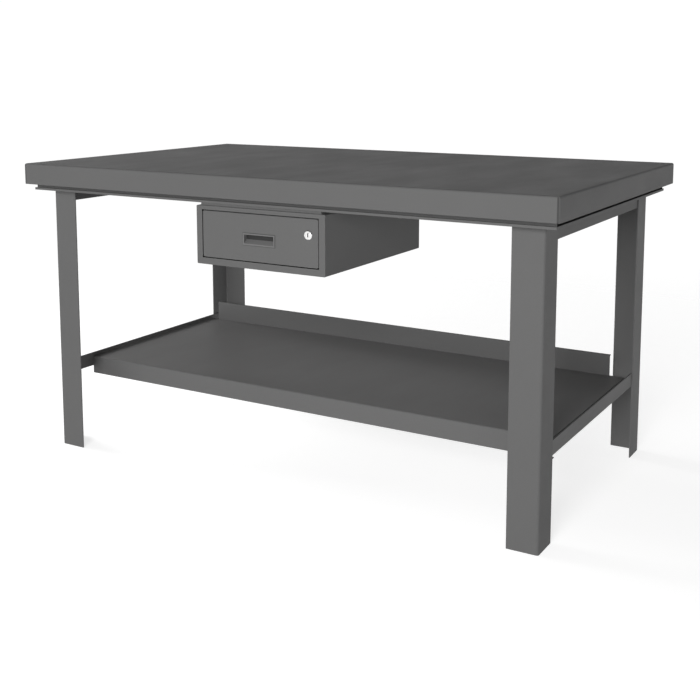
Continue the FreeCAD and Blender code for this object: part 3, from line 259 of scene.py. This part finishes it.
def seam_painted_shade(r):
    """Painted shade: a dark line down the front and the rear of the apron beside each corner, standing for
    the shade in its seam.
    """
    half_length, half_depth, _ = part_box("bench_top")[1]
    along = r.distance(r.axes()["X"], 0)
    across = r.distance(r.axes()["Y"], 0)
    start, full = APRON_SKIN
    on_apron = r.spread(across, half_depth - start, half_depth - full)
    from_seam = r.distance(along, half_length - SEAM_FROM_CORNER)
    line = r.maths("MULTIPLY", on_apron, r.spread(from_seam, *SEAM_SHADE_WIDTH, 1, 0))
    return line, SEAM_SHADE_SHARE


# ---- bright metal, plastic and rubber ---------------------------------------------------------
ZINC_TONE = 0.60
ZINC_ROUGHNESS = (0.26, 0.46)
NICKEL_ROUGHNESS = (0.22, 0.34)
NICKEL_COLOURS = (grey(0.80, 0.006), grey(0.90, 0.004))
# Painted shade inside the key slot.
KEYWAY_SHADE_SHARE = 0.97
KEYWAY_TOP = (0.0006, 0.0009)
KEYWAY_FLOOR = (0.0054, 0.0056)
ACETAL_COLOURS = ((0.80, 0.79, 0.74), (0.52, 0.51, 0.48))
ACETAL_ROUGHNESS = (0.34, 0.55)
RUBBER_COLOURS = (grey(0.018), grey(0.034))
RUBBER_ROUGHNESS = (0.68, 0.86)


def zinc_plate(name, seed):
    """Bright zinc plate: a drawn grain along the part, and dull patches."""
    r = Recipe(name)
    grain = r.noise(r.moved(seed, stretch=(1, 0.02, 1)), scale=900, detail=2.0)
    patches = r.noise(r.moved(seed + 1), scale=40, detail=4.0, rough=0.6)
    dull, bright = grey(ZINC_TONE * 0.86, 0.012), grey(ZINC_TONE * 1.08, -0.008)
    colour = r.blend(r.spread(patches, *NOISE_BODY), dull, bright)
    relief = r.bump(grain, depth=0.0001, strength=0.18, under=r.rounded(0.0004))
    return r.finish(colour, r.spread(patches, *NOISE_BODY, *ZINC_ROUGHNESS), relief, metallic=1.0)


def lathe_rings(r):
    """Fine rings about the lock's axis."""
    face_low, face_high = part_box("lock_barrel")
    axis_x, axis_z = (face_low[0] + face_high[0]) / 2, (face_low[2] + face_high[2]) / 2
    centred = r.tree.nodes.new("ShaderNodeMapping")
    centred.inputs["Location"].default_value = (-axis_x, 0, -axis_z)
    centred.inputs["Scale"].default_value = (1, 0, 1)
    r.link(r.place, centred.inputs["Vector"])
    rings = r.tree.nodes.new("ShaderNodeTexWave")
    rings.wave_type = "RINGS"
    rings.rings_direction = "SPHERICAL"
    rings.inputs["Scale"].default_value = 900
    rings.inputs["Distortion"].default_value = 0.6
    r.link(centred.outputs["Vector"], rings.inputs["Vector"])
    return rings.outputs["Fac"]


def keyway_mask(r):
    """One inside the plug's key slot and zero on the plug's face."""
    depth = r.maths("SUBTRACT", r.axes()["Y"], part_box("lock_plug")[0][1])
    below_face = r.spread(depth, *KEYWAY_TOP)
    above_floor = r.spread(depth, *KEYWAY_FLOOR, 1, 0)
    return r.maths("MULTIPLY", below_face, above_floor)


def lock_nickel(name, seed, keyway=False):
    """Bright nickel of the lock's face: lathe rings under a soft polish, and a keyway painted dark as
    shade.
    """
    r = Recipe(name)
    rings = lathe_rings(r)
    patches = r.noise(r.moved(seed), scale=160)
    colour = r.blend(r.spread(patches, *NOISE_BODY), *NICKEL_COLOURS)
    if keyway:
        colour = r.darkened(colour, keyway_mask(r), KEYWAY_SHADE_SHARE)
    relief = r.bump(rings, depth=0.00005, strength=0.15, under=r.rounded(0.0004))
    return r.finish(colour, r.spread(patches, *NOISE_BODY, *NICKEL_ROUGHNESS), relief, metallic=1.0)


def acetal(name, seed):
    """Natural acetal of the rollers: milky, with a faint moulding grain and grey track dirt."""
    r = Recipe(name)
    dirt = r.noise(r.moved(seed), scale=220, detail=4.0, rough=0.6)
    colour = r.blend(r.spread(dirt, 0.5, 0.8), *ACETAL_COLOURS)
    r.shader.inputs["Subsurface Weight"].default_value = 0.15
    r.shader.inputs["Subsurface Scale"].default_value = 0.002
    relief = r.bump(r.noise(r.moved(seed + 2), scale=700), depth=0.0001, strength=0.1)
    return r.finish(colour, r.spread(dirt, 0.3, 0.8, *ACETAL_ROUGHNESS), relief)


def moulded_rubber(name, seed):
    """Matt black rubber with a pebbled skin."""
    r = Recipe(name)
    pebbles = r.noise(r.moved(seed), scale=600, rough=0.6)
    colour = r.blend(r.spread(pebbles, *NOISE_BODY), *RUBBER_COLOURS)
    relief = r.bump(pebbles, depth=0.0003, strength=0.3, under=r.rounded(0.0006))
    return r.finish(colour, r.spread(pebbles, *NOISE_BODY, *RUBBER_ROUGHNESS), relief)


# ---- finishes on the CAD nodes ----------------------------------------------------------------
SEED_STEP = 0.63
# Painted light: these parts get a lighter coat so that they look as lit as the rest; the pull's lighter
# coat also brightens its ledge.
PAINTED_LIGHT_TONE = {"recessed_pull": 0.125, "shelf": 0.107, "shelf_rail_right": 0.114, "leg_rear_right": 0.109}
WELL_RUBBED = ("bench_top", "shelf", "recessed_pull")
MUCH_WEAR, LITTLE_WEAR = 0.5, 0.3
# Dust amounts; the shelf's large share is mostly painted light, making its deck lighter than its lamps make
# it.
DUST_AND_LIGHT_ON = {"shelf": 0.23, "bench_top": 0.06}
# Painted shade on these parts: the back of the pull's cup, a contact shadow round its rim, and the apron's
# corner seams.
PAINTED_SHADE_ON = {"recessed_pull": cup_painted_shade, "drawer_front": rim_contact_shadow, "bench_top": seam_painted_shade}


def dress(node, material):
    """Give a CAD node its finish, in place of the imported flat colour."""
    slots = nodes[node].data.materials
    slots.clear()
    slots.append(material)


slot_of = {part["node"]: part["material_slot"] for part in frame["record"]["subparts"]}
painted = sorted(name for name, slot in slot_of.items() if slot == "grey_paint")
for index, name in enumerate(painted):
    coat = powder_coat(
        f"paint_{name}",
        seed=index * SEED_STEP,
        tone=PAINTED_LIGHT_TONE.get(name, COAT_TONE),
        wear=MUCH_WEAR if name in WELL_RUBBED else LITTLE_WEAR,
        dust_and_light=DUST_AND_LIGHT_ON.get(name, 0),
        painted_shade=PAINTED_SHADE_ON.get(name),
    )
    dress(name, coat)

shared_finish = {
    "zinc_steel": zinc_plate("zinc_plate", seed=4.1),
    "lock_chrome": lock_nickel("lock_nickel", seed=7.7),
    "white_plastic": acetal("acetal", seed=2.9),
    "black_rubber": moulded_rubber("moulded_rubber", seed=5.3),
}
for name, slot in slot_of.items():
    if slot in shared_finish:
        dress(name, shared_finish[slot])
dress("lock_plug", lock_nickel("plug_nickel", seed=9.2, keyway=True))


# ---- floor, light and camera ------------------------------------------------------------------
FLOOR_HALF = 5.0
FLOOR_DROP = 0.0005
FLOOR_COLOURS = (grey(0.50), grey(0.53))
FLOOR_ROUGHNESS = 0.8
FLOOR_GLOSS = 0.1
FLOOR_GLOW = 0.74
# How far from the bench's middle the floor starts to fade, and where it is gone.
FLOOR_FADE = (1.1, 3.4)

SKY_STRENGTH = 1.02
FADE_UPWARD = {"start": 0.2, "end": 0.65, "last": 0.05}
FADE_TO_RIGHT = {"start": 0.0, "end": 0.8, "last": 0.0}
FADE_ABOVE_HORIZON = {"start": 0.0, "end": 0.12, "last": 0.0}

BENCH_MIDDLE = (0, 0, 0.45)
LIGHTS = (
    {"name": "key", "place": (1.14, -4.56, 1.8), "target": BENCH_MIDDLE, "size": (1.5, 1.3), "power": 158},
    {"name": "side", "place": (4.2, 1.3, 0.5), "target": BENCH_MIDDLE, "size": (2.4, 0.9), "power": 13},
    {"name": "left", "place": (-5.2, 0.0, 1.9), "target": (0, 0, 0.25), "size": (3.0, 1.4), "power": 240},
)

CAMERA_PLACE = (1.4939, -2.5387, 1.0553)
CAMERA_TURN = math.radians(30.47)
CAMERA_TILT = math.radians(7.44)
SENSOR_WIDTH = 36
FOCAL_LENGTH = 55.58
FRAME_SHIFT = -0.2


def floor_finish():
    """A pale floor that fades into the surroundings, so no horizon line shows."""
    r = Recipe("pale_floor")
    patches = r.noise(r.moved(1.0), scale=0.8)
    r.link(r.blend(r.spread(patches, *NOISE_BODY), *FLOOR_COLOURS), r.shader.inputs["Base Color"])
    r.shader.inputs["Roughness"].default_value = FLOOR_ROUGHNESS
    r.shader.inputs["Specular IOR Level"].default_value = FLOOR_GLOSS
    r.shader.inputs["Emission Color"].default_value = (1, 1, 1, 1)
    r.shader.inputs["Emission Strength"].default_value = FLOOR_GLOW
    reach = r.tree.nodes.new("ShaderNodeVectorMath")
    reach.operation = "LENGTH"
    r.link(r.place, reach.inputs[0])
    clear = r.tree.nodes.new("ShaderNodeBsdfTransparent")
    mix = r.tree.nodes.new("ShaderNodeMixShader")
    r.link(r.spread(reach.outputs["Value"], *FLOOR_FADE), mix.inputs[0])
    r.link(r.shader.outputs[0], mix.inputs[1])
    r.link(clear.outputs[0], mix.inputs[2])
    r.link(mix.outputs[0], r.tree.nodes["Material Output"].inputs["Surface"])
    return r.material


def make_floor():
    mesh = bpy.data.meshes.new("floor")
    corners = [(x * FLOOR_HALF, y * FLOOR_HALF, 0) for x, y in ((-1, -1), (1, -1), (1, 1), (-1, 1))]
    mesh.from_pydata(corners, [], [(0, 1, 2, 3)])
    floor = bpy.data.objects.new("floor", mesh)
    floor.location.z = -FLOOR_DROP
    mesh.materials.append(floor_finish())
    scene.collection.objects.link(floor)


def make_world():
    """Soft studio surroundings: white at eye level, dimmer overhead and to the bench's right."""
    world = bpy.data.worlds.new("studio")
    world.use_nodes = True
    scene.world = world
    tree = world.node_tree

    def faded(source, start, end, last):
        """One while the source is below start, and smoothly down to last where it reaches end."""
        node = tree.nodes.new("ShaderNodeMapRange")
        node.inputs["From Min"].default_value = start
        node.inputs["From Max"].default_value = end
        node.inputs["To Min"].default_value = 1.0
        node.inputs["To Max"].default_value = last
        node.interpolation_type = "SMOOTHSTEP"
        tree.links.new(source, node.inputs["Value"])
        return node.outputs["Result"]

    def combined(operation, first, second):
        node = tree.nodes.new("ShaderNodeMath")
        node.operation = operation
        tree.links.new(first, node.inputs[0])
        tree.links.new(second, node.inputs[1])
        return node.outputs[0]

    direction = tree.nodes.new("ShaderNodeTexCoord")
    split = tree.nodes.new("ShaderNodeSeparateXYZ")
    tree.links.new(direction.outputs["Generated"], split.inputs[0])
    upward = faded(split.outputs["Z"], **FADE_UPWARD)
    sideways = faded(split.outputs["X"], **FADE_TO_RIGHT)
    near_horizon = faded(split.outputs["Z"], **FADE_ABOVE_HORIZON)
    level = combined("MULTIPLY", upward, combined("MAXIMUM", sideways, near_horizon))
    tree.links.new(level, tree.nodes["Background"].inputs["Color"])
    tree.nodes["Background"].inputs["Strength"].default_value = SKY_STRENGTH


def soft_light(name, place, target, size, power):
    data = bpy.data.lights.new(name, "AREA")
    data.shape = "RECTANGLE"
    data.size, data.size_y = size
    data.energy = power
    light = bpy.data.objects.new(name, data)
    light.location = place
    light.rotation_euler = (Vector(target) - Vector(place)).to_track_quat("-Z", "Y").to_euler()
    scene.collection.objects.link(light)


def make_camera():
    """A camera at the front right, a little above the bench and tilted down slightly."""
    data = bpy.data.cameras.new("camera")
    camera = bpy.data.objects.new("camera", data)
    camera.location = CAMERA_PLACE
    camera.rotation_euler = Euler((math.pi / 2 - CAMERA_TILT, 0, CAMERA_TURN), "XYZ")
    data.sensor_width = SENSOR_WIDTH
    data.lens = FOCAL_LENGTH
    data.shift_y = FRAME_SHIFT
    scene.collection.objects.link(camera)
    scene.camera = camera


make_floor()
make_world()
for light in LIGHTS:
    soft_light(**light)
make_camera()
scene.view_settings.view_transform = "Standard"
